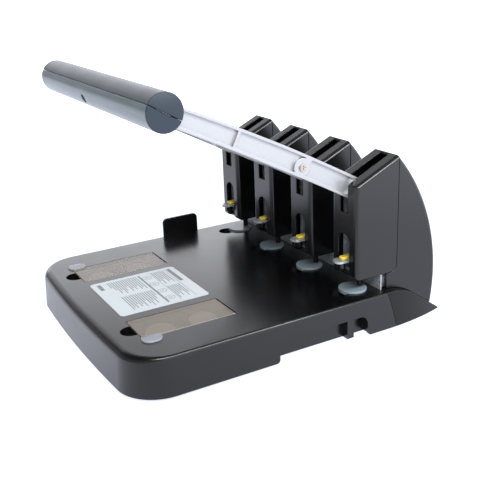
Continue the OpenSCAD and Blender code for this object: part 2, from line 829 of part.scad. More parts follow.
// Side view of a rear cover, open to the back, where its round body limits it
// The middle of the round back lies this far below the ridge
cover_drop = 135.6;
cover_z = ridge_z - cover_drop;
cover_y = ridge_y + seam_gap - sqrt(cover_r * cover_r - cover_drop * cover_drop);
cover_seat_gap = 0.2;
cover_lip = 0.6;
cover_front = frame_leg;
module cover_side() {
    heel = tower_heel_r + seam_gap;
    top = ridge_z - cover_lip;
    line = foot_line(-cover_seat_gap);
    polygon(concat(
        [[rear_reach + over, top]],
        reversed([for (p = line) if (p[0] > cover_front) p]),
        [[cover_front, deck_h + cover_seat_gap], [cover_front, tower_low - seam_gap]],
        reversed(arc([ridge_y - tower_heel_r, tower_low + tower_heel_r], heel, 0, -90, 8)),
        [[ridge_y + seam_gap, top]]
    ));
}
// The curved back with its two rounded edges
cover_fn = 360;
module cover_body() intersection() {
    along_x(tower_w) cover_side();
    translate([0, cover_y, cover_z]) rotate([0, 90, 0]) rotate_extrude($fn = cover_fn) {
        translate([0, -tower_w / 2]) square([cover_r - tower_top_r, tower_w]);
        translate([0, tower_top_r - tower_w / 2]) square([cover_r, tower_w - 2 * tower_top_r]);
        for (s = [-1, 1]) translate([cover_r - tower_top_r, s * (tower_w / 2 - tower_top_r)])
            circle(tower_top_r);
    }
}
// Side view of the space inside a rear cover, which ends below the cover's lower edge
cover_under = 12;
module cover_space() {
    r = cover_r - tower_wall;
    foot = cover_front - over;
    top = ridge_z - tower_wall;
    round_back = arc([cover_y, cover_z], r, asin((top - cover_z) / r), -cover_under, 20);
    end = round_back[len(round_back) - 1];
    polygon(concat(
        round_back,
        reversed([for (p = foot_line(over)) if (p[0] > cover_front && p[0] < end[0]) p]),
        [[foot, deck_h - over], [foot, top]]
    ));
}
module rear_cover(i) color(shell_c) place() translate([tower_x[i], 0, 0]) difference() {
    cover_body();
    difference() {
        along_x(tower_w - 2 * tower_wall) cover_space();
        for (z = cover_screw_z) translate([0, frame_web, z]) rotate([-90, 0, 0])
            cylinder(r = screw_head_r + screw_well_t, h = far);
    }
    for (z = cover_screw_z) translate([0, 0, z]) rotate([-90, 0, 0]) {
        cylinder(r = screw_r + screw_gap, h = far);
        translate([0, 0, cover_seat]) cylinder(r = screw_head_r + screw_gap, h = far);
    }
}

// Steel frames: two cheeks, a web, a guide plate and two feet with screws
module cheek_shape() {
    polygon([
        [-frame_front, guide_low], [frame_leg, guide_low], [frame_leg, plate_top], [frame_web, plate_top],
        [frame_web, frame_top], [-frame_front, frame_top]
    ]);
}
module head_frames() color(zinc_c) place() for (x = tower_x) translate([x, 0, 0]) difference() {
    union() {
        for (s = [-1, 1]) {
            along_x(frame_t, s * (frame_in + frame_t) / 2) cheek_shape();
            translate([s * (frame_out + flange_w) / 2, (frame_leg + frame_web) / 2, plate_top + frame_t / 2])
                cube([flange_w + 2 * layer, frame_web - frame_leg, frame_t], center = true);
        }
        translate([-frame_out / 2, frame_web - frame_t, plate_top])
            cube([frame_out, frame_t, frame_top - plate_top]);
        translate([-frame_out / 2, -frame_front, guide_low])
            cube([frame_out, frame_web + frame_front, guide_plate]);
    }
    translate([0, 0, guide_low]) cylinder(r = bush_r + press_gap, h = far, center = true);
    translate([0, pivot_y, pivot_z]) bar_x(pivot_d / 2 + press_gap, -far, far);
    for (s = [-1, 1], y = frame_screw_y) translate([s * (frame_out + flange_w) / 2, y, 0])
        cylinder(r = screw_r + press_gap, h = plate_top + frame_t + over);
    for (z = cover_screw_z) translate([0, frame_web, z]) rotate([90, 0, 0])
        cylinder(r = screw_r + press_gap, h = 4 * frame_t, center = true);
}

module guide_bushes() color(bronze_c) place() for (x = tower_x) translate([x, 0, guide_low]) difference() {
    union() {
        cylinder(r = bush_r, h = guide_plate);
        translate([0, 0, guide_plate]) cylinder(r = bush_r + bush_rim, h = bush_flange);
    }
    cylinder(r = hole_d / 2 + run_gap, h = far, center = true);
}

pin_head_over = 2;
pin_head_r = pivot_d / 2 + pin_head_over;
pin_head_t = 2;
module pivot_pins() color(steel_c) place() for (x = tower_x) translate([x, pivot_y, pivot_z]) {
    bar_x(pivot_d / 2, -frame_out / 2, frame_out / 2);
    for (s = [-1, 1]) translate([s * (frame_out + pin_head_t) / 2, 0, 0])
        bar_x(pin_head_r, -pin_head_t / 2, pin_head_t / 2);
}

// Punches
// The plunger is a fork round the arm, with a slot for the drive pin and a runner for the slide
plunger_over = 3.5;
plunger_top = drive_z + drive_d / 2 + plunger_over;
plunger_low = tongue_top + slide_gap;
drive_play = 0.2;
module plunger(i) color(zinc_c) place() translate([tower_x[i], 0, 0]) difference() {
    union() {
        translate([-plunger_w / 2, -plunger_d / 2, plunger_low])
            cube([plunger_w, plunger_d, plunger_top - plunger_low]);
        for (s = [-1, 1]) {
            side = (plunger_w - tongue_w) / 2 - slide_gap;
            translate([s * (plunger_w - side) / 2, 0, (plunger_low + tongue_low - toe_h) / 2])
                cube([side, plunger_d, plunger_low - tongue_low + toe_h + 2 * layer], center = true);
            toe = 3.4;
            translate([s * (plunger_w - toe) / 2, 0, tongue_low - slip_gap - toe_h / 2])
                cube([toe, plunger_d, toe_h], center = true);
        }
    }
    translate([-cheek_in / 2, -plunger_d, plunger_low + plunger_block]) cube([cheek_in, 2 * plunger_d, far]);
    for (s = [0, 1]) translate([0, drive_y - s * drive_sway, drive_z])
        bar_x(drive_d / 2 + drive_play, -far, far);
    translate([0, drive_y - drive_sway / 2, drive_z])
        cube([far, drive_sway, drive_d + 2 * drive_play], center = true);
    translate([0, 0, plunger_low - over])
        cylinder(r = hole_d / 2 + press_gap, h = pin_head + over + slide_gap);
}

pin_gap = 0.3;
module punch_pin(i) color(black_c) place() translate([tower_x[i], 0, 0]) {
    low = disc_top + pin_gap;
    groove = tongue_low - slide_gap;
    translate([0, 0, low]) cylinder(r = hole_d / 2, h = groove - low);
    translate([0, 0, groove - layer]) cylinder(r = pin_neck_r, h = plunger_low - groove + 2 * layer);
    translate([0, 0, plunger_low]) cylinder(r = hole_d / 2, h = pin_head);
}

// The release slide is a forked plate: its prongs hold the pin's neck
tongue_front = tower_front + tongue_out;
// Pulled out, the prongs have just cleared the pin
prong_back = release_pull - hole_d / 2;
neck_gap = 0.2;
module release_slide(i) color(zinc_c) place() translate([tower_x[i], 0, tongue_low])
    linear_extrude(tongue_t) difference() {
    union() {
        translate([-tongue_w / 2, -tongue_front + tongue_w / 2])
            square([tongue_w, tongue_front - tongue_w / 2 + prong_back]);
        translate([0, -tongue_front + tongue_w / 2]) circle(tongue_w / 2);
    }
    circle(pin_neck_r + neck_gap);
    translate([-pin_neck_r - neck_gap, 0]) square([2 * (pin_neck_r + neck_gap), prong_back + over]);
}

// The yellow tip lies along the slide, from in front of the tower to just before the plunger
tip_out = 4;
tip_gap = 1;
tip_w = 7.4;
tip_h = 3.2;
tip_corner = 2.4;
tip_front = tower_front + tip_out;
tip_back = plunger_d / 2 + tip_gap;
module release_tip(i) color(yellow_c) place()
    translate([tower_x[i], -(tip_front + tip_back) / 2, tongue_top])
        linear_extrude(tip_h) round_square(tip_w, tip_front - tip_back, tip_corner);

knob_r = 4.3;
knob_h = 7.6;
knob_edge = 1.2;
knob_out = 2.5;
knob_y = tower_front + knob_out;
module release_knob(i) color(black_c) place() translate([tower_x[i], -knob_y, tongue_low - knob_h]) {
    translate([0, 0, knob_edge]) cylinder(r = knob_r, h = knob_h - knob_edge);
    cylinder(r1 = knob_r - knob_edge, r2 = knob_r, h = knob_edge);
}

// Return spring, pressed flat while the punch is down: one tube swept along a helix
spring_wire = 0.7;
spring_turns = 3;
spring_clear = 1.4;
spring_r = hole_d / 2 + spring_clear;
spring_low = guide_top + bush_flange;
spring_high = tongue_low - slip_gap - toe_h;
spring_rings = 12;
spring_sides = 6;
spring_seat = 0.1;
spring_first = spring_low + spring_wire / 2 + spring_seat;
spring_rise = spring_high - spring_low - spring_wire - 2 * spring_seat;
spring_count = spring_turns * spring_rings;
function spring_mid(k) =
    let (a = 360 * k / spring_rings)
    [spring_r * cos(a), spring_r * sin(a), spring_first + spring_rise * k / spring_count];
function spring_ring(k) =
    let (a = 360 * k / spring_rings, m = spring_mid(k))
    [for (j = [0:spring_sides - 1])
        let (b = 360 * j / spring_sides)
        m + spring_wire / 2 * [cos(b) * cos(a), cos(b) * sin(a), sin(b)]];
spring_points = [for (k = [0:spring_count], p = spring_ring(k)) p];
function spring_quad(k, j) =
    let (a = k * spring_sides + j, b = k * spring_sides + (j + 1) % spring_sides)
    [[a, a + spring_sides, b], [b, a + spring_sides, b + spring_sides]];
spring_last = spring_count * spring_sides;
spring_faces = concat(
    [for (k = [0:spring_count - 1], j = [0:spring_sides - 1], f = spring_quad(k, j)) f],
    [for (j = [1:spring_sides - 2]) [0, j, j + 1]],
    [for (j = [1:spring_sides - 2]) [spring_last, spring_last + j + 1, spring_last + j]]
);
spring_space = min([for (k = [0:spring_count - spring_rings])
    norm(spring_mid(k + spring_rings) - spring_mid(k))]) - spring_wire;
echo(least_gap_between_spring_turns = spring_space);
module return_spring(i) color(steel_c) place() translate([tower_x[i], 0, 0])
    polyhedron(spring_points, spring_faces);

// Lever
// Side view of an arm from the pivot to the place t along it, moved in by d
module arm_band(t0, t1, d) {
    polygon(concat(
        [for (k = [0:arm_steps]) let (t = t0 + (t1 - t0) * k / arm_steps) arm_at(t, arm_half(t) - d)],
        [for (k = [arm_steps:-1:0]) let (t = t0 + (t1 - t0) * k / arm_steps) arm_at(t, d - arm_half(t))]
    ));
}
// A straight link of two half widths between two points
module link(a, b, ha, hb) {
    n = [a[1] - b[1], b[0] - a[0]] / norm(b - a);
    polygon([a + ha * n, b + hb * n, b - hb * n, a - ha * n]);
}
module arm_outline(long) {
    pivot = [pivot_y, pivot_z];
    drive = [drive_y, drive_z];
    arm_band(0, long ? 1 : tie_t, 0);
    translate(pivot) circle(arm_h / 2);
    translate(drive) circle(lobe_r);
    link(pivot, drive, arm_h / 2, lobe_r);
    if (long) translate([-grip_y, grip_z]) circle(eye_r);
    else translate(tie_at) circle(tie_boss_r + tie_edge);
}
module arm_hollow(long) {
    neck_top = arm_at(tie_t - neck_back, arm_half(tie_t));
    difference() {
        arm_band(hollow_from, long ? hollow_to : tie_t, arm_rim);
        translate(tie_at) circle(tie_boss_r);
        link(tie_at, neck_top, tie_boss_r / 2, tie_boss_r / 3);
        link(arm_at(rib_t, -arm_h), arm_at(rib_t, arm_h), rib_w / 2, rib_w / 2);
        translate([-grip_y, grip_z]) circle(eye_r);
    }
}
// The round run-out at a hollow's lower end, which dips a little below the floor and
// stays a little inside the rims, so that no two of their faces coincide
module hollow_end(side) intersection() {
    along_x(arm_t, side * (arm_t + arm_web) / 2)
        arm_band(hollow_from - run_out_t, hollow_from + run_out_t / 2, arm_rim + run_out_in);
    translate([side * (arm_web / 2 + run_out_r - run_out_dip), 0, 0]) along_arm(hollow_from)
        cylinder(r = run_out_r, h = 2 * arm_h, center = true);
}
// Puts something at a place t on the arms' centre line, with Z across the arm
module along_arm(t) translate([0, arm_at(t, 0)[0], arm_at(t, 0)[1]])
    rotate([arm_heading(t), 0, 0]) children();
tie_cap = 3;
module lever_arm(i) color(cast_c) place() translate([tower_x[i], 0, 0]) {
    long = i == 0 || i == 3;
    out = i < 2 ? -1 : 1;
    difference() {
        union() {
            along_x(arm_t) arm_outline(long);
            translate([0, pivot_y, pivot_z]) bar_x(hub_r, -frame_in / 2 + slip_gap, frame_in / 2 - slip_gap);
        }
        for (s = [-1, 1]) {
            along_x(arm_t, s * (arm_t + arm_web) / 2) arm_hollow(long);
            hollow_end(s);
        }
        translate([0, pivot_y, pivot_z]) bar_x(pivot_d / 2 + run_gap, -far, far);
        translate([0, drive_y, drive_z]) bar_x(drive_d / 2 + press_gap, -far, far);
        translate([0, tie_at[0], tie_at[1]]) {
            bar_x(screw_r + screw_gap, -far, far);
            rotate([0, 0, out > 0 ? 0 : 180])
                bar_x(tie_d / 2 + press_gap, -far, long ? arm_t / 2 - tie_cap : far);
        }
        if (long) translate([0, -grip_y, grip_z]) bar_x(core_d / 2 + press_gap, -far, far);
    }
}

module drive_pins() color(steel_c) place() for (x = tower_x) translate([x, drive_y, drive_z])
    bar_x(drive_d / 2, -drive_len / 2, drive_len / 2);

tie_half = tower_x[3] + arm_t / 2 - tie_cap;
module tie_rod() color(steel_c) place() translate([0, tie_at[0], tie_at[1]]) difference() {
    bar_x(tie_d / 2, -tie_half, tie_half);
    for (s = [-1, 1]) translate([s * tie_half, 0, 0]) bar_x(screw_r + press_gap, -screw_len, screw_len);
}

// Grip: two half shells on a steel core, split along the arms
split_lean = 2.8;
split_turn = -atan2(arm_dz, arm_dy) - split_lean;
rib_mid = 31;
rib_off = 12;
rib_x = [rib_mid, tower_x[3] - rib_off, tower_x[3] + rib_off];
grip_rib = 3;
grip_end_r = 1.2;
// Each grip screw: its place along the grip and its angle up from the front
grip_screws = [[-11, -22], [11, 158]];
grip_floor_t = 3.2;
grip_floor = core_d / 2 + grip_floor_t;
module grip_space() {
    end = grip_len / 2 - grip_wall;
    difference() {
        bar_x(grip_d / 2 - grip_wall, -end, end);
        for (x = rib_x, s = [-1, 1]) bar_x(grip_d, s * x - grip_rib / 2, s * x + grip_rib / 2);
        for (g = grip_screws) grip_screw_at(g) translate([0, 0, core_d / 2])
            cylinder(r = screw_head_r + screw_well_gap + screw_wall, h = far);
    }
    bar_x(core_d / 2 + press_gap, -end, end);
}
// Puts something at a grip screw, with Z pointing out of the grip
module grip_screw_at(g) translate([g[0], 0, 0]) rotate([90 - g[1], 0, 0]) children();
// Right end of the grip's outline, from the rim's round to the axis, bulging by a height
grip_dome = 2.2;
function grip_end(bulge) =
    let (
        half = grip_len / 2,
        r = grip_d / 2 - grip_end_r,
        dome_r = bulge > 0 ? (r * r + bulge * bulge) / (2 * bulge) : 0
    )
    concat(
        arc([r, half - grip_end_r], grip_end_r, 0, 90, 6),
        bulge > 0 ? arc([0, half + bulge - dome_r], dome_r, 90 - asin(r / dome_r), 90, 8) : [[0, half]]
    );
module grip_body(bulge) {
    end = grip_end(bulge);
    rotate([0, 90, 0]) rotate_extrude()
        polygon(concat([for (p = reversed(end)) [p[0], -p[1]]], end));
}
module grip_half(side) color(grip_c) place() difference() {
    translate([0, -grip_y, grip_z]) intersection() {
        difference() {
            grip_body(side > 0 ? grip_dome : 0);
            grip_space();
            for (g = grip_screws) grip_screw_at(g) {
                cylinder(r = screw_r + screw_gap, h = far);
                translate([0, 0, grip_floor]) cylinder(r = screw_head_r + screw_well_gap, h = far);
            }
        }
        rotate([split_turn, 0, 0]) translate([0, 0, side * (far + seam_gap) / 2])
            cube(far, center = true);
    }
    for (i = [0, 3]) along_x(arm_t + 2 * slip_gap, tower_x[i]) arm_band(0.5, 1, -slip_gap);
}
module grip_top() grip_half(1);
module grip_bottom() grip_half(-1);

module grip_core() color(steel_c) place() translate([0, -grip_y, grip_z]) difference() {
    end = grip_len / 2 - grip_wall - slip_gap;
    bar_x(core_d / 2, -end, end);
    for (g = grip_screws) grip_screw_at(g) translate([0, 0, grip_floor - screw_len - over])
        cylinder(r = screw_r + press_gap, h = far);
}

module lever_screws() color(brass_c) place() {
    for (s = [-1, 1]) translate([s * (tie_half + tie_cap), tie_at[0], tie_at[1]])
        rotate([0, -90 * s, 0]) screw();
    translate([0, -grip_y, grip_z]) for (g = grip_screws) grip_screw_at(g)
        translate([0, 0, grip_floor]) rotate([180, 0, 0]) screw();
}

base_shell();
rear_foot();
bottom_plate();
rubber_feet();
case_screws();
back_stop();
instruction_label();
spare_discs();
bay_lid_left();
bay_lid_right();
paper_guide();
head_frames();
guide_bushes();
pivot_pins();
drive_pins();
tie_rod();
lever_screws();
grip_top();
grip_bottom();
grip_core();
// The pieces that each tower has, numbered from the left
for (i = [0:3]) {
    cutting_disc(i);
    punch_housing(i);
    rear_cover(i);
    plunger(i);
    punch_pin(i);
    return_spring(i);
    release_slide(i);
    release_tip(i);
    release_knob(i);
    lever_arm(i);
}
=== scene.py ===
"""Looks of a heavy duty hole punch: finishes, edge rounds, label print, springs, light and camera."""
import json
import math

import bmesh
import bpy
from mathutils import Matrix, Vector


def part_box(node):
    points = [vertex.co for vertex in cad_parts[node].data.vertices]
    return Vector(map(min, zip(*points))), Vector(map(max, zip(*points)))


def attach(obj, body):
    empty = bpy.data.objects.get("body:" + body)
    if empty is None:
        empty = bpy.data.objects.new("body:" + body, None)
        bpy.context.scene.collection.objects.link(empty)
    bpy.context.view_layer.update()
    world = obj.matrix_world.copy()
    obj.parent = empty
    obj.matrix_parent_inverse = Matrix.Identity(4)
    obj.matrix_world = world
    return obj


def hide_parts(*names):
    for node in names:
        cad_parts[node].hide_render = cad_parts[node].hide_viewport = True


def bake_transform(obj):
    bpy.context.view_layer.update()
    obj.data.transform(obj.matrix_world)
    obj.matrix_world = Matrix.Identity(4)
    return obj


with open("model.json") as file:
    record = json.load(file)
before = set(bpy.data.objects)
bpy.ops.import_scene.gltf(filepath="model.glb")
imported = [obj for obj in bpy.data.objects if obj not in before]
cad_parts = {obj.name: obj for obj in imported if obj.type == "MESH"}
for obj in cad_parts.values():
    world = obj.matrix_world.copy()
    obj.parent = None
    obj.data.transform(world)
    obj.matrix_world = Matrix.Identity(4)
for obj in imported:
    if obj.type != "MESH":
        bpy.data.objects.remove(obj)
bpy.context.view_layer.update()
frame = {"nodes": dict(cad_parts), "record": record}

MM = 0.001
NODES = frame["nodes"]
SLOT_OF = {part["node"]: part["material_slot"] for part in frame["record"]["subparts"]}
TOWERS = (1, 2, 3, 4)


# Camera at the photograph's viewpoint
CAMERA_AT = Vector((0.72685, -0.38020, 0.37237))
CAMERA_AZIMUTH = math.radians(61.39)
CAMERA_ELEVATION = math.radians(19.75)
CAMERA_ROLL = math.radians(-2.46)
LENS_MM = 58.94
SENSOR_MM = 36.0
NEAREST = 10 * MM


def make_camera():
    """The camera, turned by azimuth and elevation and then rolled about its own axis."""
    level = math.cos(CAMERA_ELEVATION)
    back = Vector((
        math.sin(CAMERA_AZIMUTH) * level,
        -math.cos(CAMERA_AZIMUTH) * level,
        math.sin(CAMERA_ELEVATION),
    ))
    flat_right = Vector((math.cos(CAMERA_AZIMUTH), math.sin(CAMERA_AZIMUTH), 0))
    flat_up = back.cross(flat_right)
    right = math.cos(CAMERA_ROLL) * flat_right + math.sin(CAMERA_ROLL) * flat_up
    up = back.cross(right)
    data = bpy.data.cameras.new("camera")
    data.sensor_width = SENSOR_MM
    data.lens = LENS_MM
    data.clip_start = NEAREST
    camera = bpy.data.objects.new("camera", data)
    camera.matrix_world = Matrix((
        (right.x, up.x, back.x, CAMERA_AT.x),
        (right.y, up.y, back.y, CAMERA_AT.y),
        (right.z, up.z, back.z, CAMERA_AT.z),
        (0, 0, 0, 1),
    ))
    bpy.context.scene.collection.objects.link(camera)
    bpy.context.scene.camera = camera


# Finishes
EVEN = (1, 1, 1)
# Most of a noise lies between these values
NOISE_LOW = 0.3
NOISE_HIGH = 0.7
# Cosine between the plain normal and the one rounded over a radius, at a corner and on a flat face
CORNER_COSINE = 0.8
FLAT_COSINE = 0.995
EDGE_SAMPLES = 4
SOFT_SAMPLES = 8


class Graph:
    """Nodes of one tree."""

    def __init__(self, tree):
        self.tree = tree

    def add(self, kind, inputs=None, **settings):
        """A new node, with its inputs linked or set."""
        node = self.tree.nodes.new(kind)
        for key, value in settings.items():
            setattr(node, key, value)
        for key, value in (inputs or {}).items():
            self.put(node, key, value)
        return node

    def put(self, node, key, value):
        """Links a socket to an input, or sets the input to a plain value."""
        if isinstance(value, bpy.types.NodeSocket):
            self.tree.links.new(value, node.inputs[key])
        else:
            node.inputs[key].default_value = value

    def span(self, value, low, high, start=0.0, end=1.0):
        """A value between start and end, mapped to the range from low to high."""
        inputs = {"Value": value, "From Min": start, "From Max": end, "To Min": low, "To Max": high}
        return self.add("ShaderNodeMapRange", inputs).outputs["Result"]

    def math(self, operation, first, second):
        """Two values taken together."""
        return self.add("ShaderNodeMath", {0: first, 1: second}, operation=operation).outputs["Value"]

    def parts(self, vector):
        """The three coordinates of a vector."""
        return self.add("ShaderNodeSeparateXYZ", {"Vector": vector}).outputs


class Finish(Graph):
    """A procedural material in the making, drawn in the object's own coordinates in metres."""

    def __init__(self, name, **sockets):
        self.material = bpy.data.materials.new(name)
        self.material.use_nodes = True
        super().__init__(self.material.node_tree)
        self.shader = self.tree.nodes["Principled BSDF"]
        self.place = self.add("ShaderNodeTexCoord").outputs["Object"]
        self.normal = None
        self.body = None
        for socket, value in sockets.items():
            self.shader.inputs[socket.replace("_", " ")].default_value = value

    def scaled(self, size, stretch):
        """Object coordinates in units of a size, drawn out along some axes."""
        scale = tuple(1 / (size * s) for s in stretch)
        return self.add("ShaderNodeMapping", {"Vector": self.place, "Scale": scale}).outputs["Vector"]

    def noise(self, size, detail=2.0, stretch=EVEN):
        """Soft noise from 0 to 1 with lumps of about one size."""
        inputs = {"Vector": self.scaled(size, stretch), "Scale": 1.0, "Detail": detail}
        return self.add("ShaderNodeTexNoise", inputs).outputs["Fac"]

    def spread(self, noise, low, high):
        """Noise mapped to the range from low to high."""
        return self.span(noise, low, high, NOISE_LOW, NOISE_HIGH)

    def sideways(self):
        """The distance from the middle plane of the object."""
        return self.math("ABSOLUTE", self.parts(self.place)["X"], 0.0)

    def cells(self, size):
        """A random grey for each cell of a crystal pattern."""
        inputs = {"Vector": self.scaled(size, EVEN), "Scale": 1.0}
        colour = self.add("ShaderNodeTexVoronoi", inputs).outputs["Color"]
        return self.add("ShaderNodeSeparateColor", {"Color": colour}).outputs["Red"]

    def tint(self, share, first, second):
        """A colour between two colours."""
        node = self.add("ShaderNodeMix", data_type="RGBA")
        self.put(node, "Factor", share)
        self.put(node, 6, first if isinstance(first, bpy.types.NodeSocket) else (*first, 1))
        self.put(node, 7, second if isinstance(second, bpy.types.NodeSocket) else (*second, 1))
        return node.outputs[2]

    def edges(self, radius):
        """0 on a flat face and up to 1 where a corner lies within the radius."""
        rounded = self.add("ShaderNodeBevel", {"Radius": radius}, samples=EDGE_SAMPLES).outputs["Normal"]
        plain = self.add("ShaderNodeNewGeometry").outputs["Normal"]
        dot = self.add("ShaderNodeVectorMath", {0: rounded, 1: plain}, operation="DOT_PRODUCT")
        return self.span(dot.outputs["Value"], 1.0, 0.0, CORNER_COSINE, FLAT_COSINE)

    def bump(self, height, depth):
        """Adds a relief of a given depth in metres to those that are there already."""
        inputs = {"Height": height, "Distance": depth, "Strength": 1.0}
        if self.normal is not None:
            inputs["Normal"] = self.normal
        self.normal = self.add("ShaderNodeBump", inputs).outputs["Normal"]
        self.put(self.shader, "Normal", self.normal)

    def soften(self, radius):
        """Shades the corners as rounded within a radius. Comes before any relief."""
        self.normal = self.add("ShaderNodeBevel", {"Radius": radius}, samples=SOFT_SAMPLES).outputs["Normal"]

    def colour(self, value):
        """Sets the colour and keeps it for a further tint."""
        self.body = value
        self.put(self.shader, "Base Color", value)

    def roughness(self, value):
        """Sets the roughness."""
        self.put(self.shader, "Roughness", value)


def times(colour, factor):
    """A colour made lighter or darker."""
    return tuple(min(1.0, c * factor) for c in colour)


# Moulded plastic: its slow patches, its grain and its edges painted lighter as highlights
PATCH_SIZE = 28 * MM
PATCH_SHADE = 0.08
PATCH_ROUGH = 0.02
GRAIN_SHADE = 0.85
EDGE_HIGHLIGHT_WIDTH = 0.9 * MM
SHELL_BLACK = (0.0022, 0.0022, 0.0025)
PLASTICS = {
    "shell_plastic": {"colour": SHELL_BLACK, "rough": 0.24, "grain": 0.5 * MM, "depth": 0.0015 * MM},
    # A copy of the shell plastic with weaker reflection: painted shade that darkens the rear foot
    "foot_plastic_painted_shade": {
        "colour": SHELL_BLACK, "rough": 0.28, "grain": 0.5 * MM, "depth": 0.0015 * MM,
        "Specular_IOR_Level": 0.28,
    },
    "black_plastic": {
        "colour": (0.004, 0.004, 0.0045), "rough": 0.16, "grain": 0.8 * MM, "depth": 0.001 * MM,
    },
    "disc_plastic": {
        "colour": (0.23, 0.285, 0.32), "rough": 0.34, "grain": 0.6 * MM, "depth": 0.004 * MM, "wear": 1.3,
    },
    # A lighter, warmer copy of the disc plastic: painted light on the spare discs, which lie in the dim bays
    "disc_plastic_painted_light": {
        "colour": (0.62, 0.58, 0.50), "rough": 0.4, "grain": 0.6 * MM, "depth": 0.004 * MM, "wear": 1.1,
    },
    "yellow_plastic": {
        "colour": (0.92, 0.67, 0.07), "rough": 0.25, "grain": 0.7 * MM, "depth": 0.002 * MM, "wear": 1.08,
    },
    "rubber": {
        "colour": (0.012, 0.012, 0.012), "rough": 0.75, "grain": 0.6 * MM, "depth": 0.05 * MM, "wear": 1.4,
    },
}


def moulded(name, colour, rough, grain, depth, wear=1.5, **sockets):
    """Moulded plastic: eroded grain, slow differences of colour and gloss, edges painted lighter as
    highlights.
    """
    finish = Finish(name, **sockets)
    patches = finish.noise(PATCH_SIZE, detail=3.0)
    fine = finish.noise(grain)
    body = finish.tint(patches, times(colour, 1 - PATCH_SHADE), times(colour, 1 + PATCH_SHADE))
    grained = finish.tint(finish.spread(fine, 0.0, 1.0), times(colour, GRAIN_SHADE), body)
    # Corners painted lighter: a painted highlight along the edges
    finish.colour(finish.tint(finish.edges(EDGE_HIGHLIGHT_WIDTH), grained, times(colour, wear)))
    finish.roughness(finish.spread(patches, rough - PATCH_ROUGH, rough + PATCH_ROUGH))
    finish.bump(fine, depth)
    return finish


# Grip: its two shells, the lower one painted lighter as lit from below, its ends, its sheen, its edges
# painted lighter as highlights and its lengthwise streaks
GRIPS = {
    "grip_plastic": {"colour": (0.020, 0.031, 0.038), "rough": 0.38},
    # The lower shell: a lighter copy of the slate plastic, painted light from the bright floor below
    "grip_underside_painted_light": {"colour": (0.10, 0.132, 0.132), "rough": 0.30},
}
GRIP_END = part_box("grip_bottom")[1].x
CAP_FROM = GRIP_END - 1.2 * MM
CAP_TO = GRIP_END - 0.2 * MM
GRIP_CAP = (0.007, 0.013, 0.022)
GRIP_SHEEN = (0.84, 0.94, 1.0, 1)
GRIP_GRAIN = 0.5 * MM
GRIP_DEPTH = 0.004 * MM
# How much lighter the grip's edges are painted, as a highlight
GRIP_EDGE_HIGHLIGHT = 1.2
STREAK_SIZE = 0.9 * MM
STREAK_STRETCH = (40, 1, 1)
STREAK_FROM = 0.4
STREAK_TO = 0.65
STREAK_SHADE = 1.25
STREAK_DEPTH = 0.006 * MM


def grip_shell(name, colour, rough):
    """Slate plastic with lengthwise streaks and bluish ends."""
    finish = moulded(name, colour, rough, GRIP_GRAIN, GRIP_DEPTH, GRIP_EDGE_HIGHLIGHT, Specular_Tint=GRIP_SHEEN)
    streaks = finish.noise(STREAK_SIZE, detail=3.0, stretch=STREAK_STRETCH)
    share = finish.span(streaks, 0.0, 1.0, STREAK_FROM, STREAK_TO)
    streaked = finish.tint(share, finish.body, times(colour, STREAK_SHADE))
    end = finish.span(finish.sideways(), 0.0, 1.0, CAP_FROM, CAP_TO)
    finish.colour(finish.tint(end, streaked, GRIP_CAP))
    finish.bump(streaks, STREAK_DEPTH)
    return finish.material


# Lids: a smoked leaf and, further out, a frosted finger tab, both with painted highlights along their edges
TAB_REACH = 12.8 * MM
LID_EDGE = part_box("bay_lid_right")[1].x - TAB_REACH
TAB_BLEND = 0.8 * MM
LID_ALPHA = 0.52
TAB_ALPHA = 0.55
SMOKE_DARK = (0.235, 0.205, 0.165)
SMOKE_LIGHT = (0.275, 0.24, 0.195)
LID_HIGHLIGHT = (0.72, 0.65, 0.5)
TAB_FACE = (0.36, 0.38, 0.43)
TAB_HIGHLIGHT = (0.8, 0.83, 0.88)
LID_HIGHLIGHT_WIDTH = 0.9 * MM
TAB_HIGHLIGHT_WIDTH = 1.2 * MM
LID_ROUGH = (0.10, 0.14)
HAZE_SIZE = 20 * MM
WAVE_SIZE = 9 * MM
LID_WAVE = 0.01 * MM


def smoke_plastic():
    """Smoke tinted clear plastic with frosted bluish finger tabs and painted highlights along their edges.
    """
    finish = Finish("smoke_plastic")
    haze = finish.noise(HAZE_SIZE)
    smoke = finish.tint(haze, SMOKE_DARK, SMOKE_LIGHT)
    # A painted highlight along the lid's edges
    leaf = finish.tint(finish.edges(LID_HIGHLIGHT_WIDTH), smoke, LID_HIGHLIGHT)
    # A painted highlight along the tab's edges
    tab = finish.tint(finish.edges(TAB_HIGHLIGHT_WIDTH), TAB_FACE, TAB_HIGHLIGHT)
    share = finish.span(finish.sideways(), 0.0, 1.0, LID_EDGE - TAB_BLEND, LID_EDGE + TAB_BLEND)
    finish.colour(finish.tint(share, leaf, tab))
    finish.put(finish.shader, "Alpha", finish.span(share, LID_ALPHA, TAB_ALPHA))
    finish.roughness(finish.span(haze, *LID_ROUGH))
    finish.bump(finish.noise(WAVE_SIZE, detail=1.0), LID_WAVE)
    return finish.material


# Label: its film and its ink
FILM_DARK = (0.46, 0.515, 0.535)
FILM_LIGHT = (0.485, 0.54, 0.56)
FILM_FIBRE = (0.43, 0.48, 0.50)
FILM_CLOUDS = 18 * MM
FIBRE_SIZE = 0.6 * MM
FILM_PATCH = 5 * MM
FILM_ROUGH = (0.26, 0.32)
FILM_WAVE = 0.008 * MM
INK_DARK = (0.075, 0.08, 0.09)
INK_LIGHT = (0.13, 0.135, 0.15)
INK_GRAIN = 0.5 * MM
INK_PATCH = 3 * MM
INK_ROUGH = (0.3, 0.42)


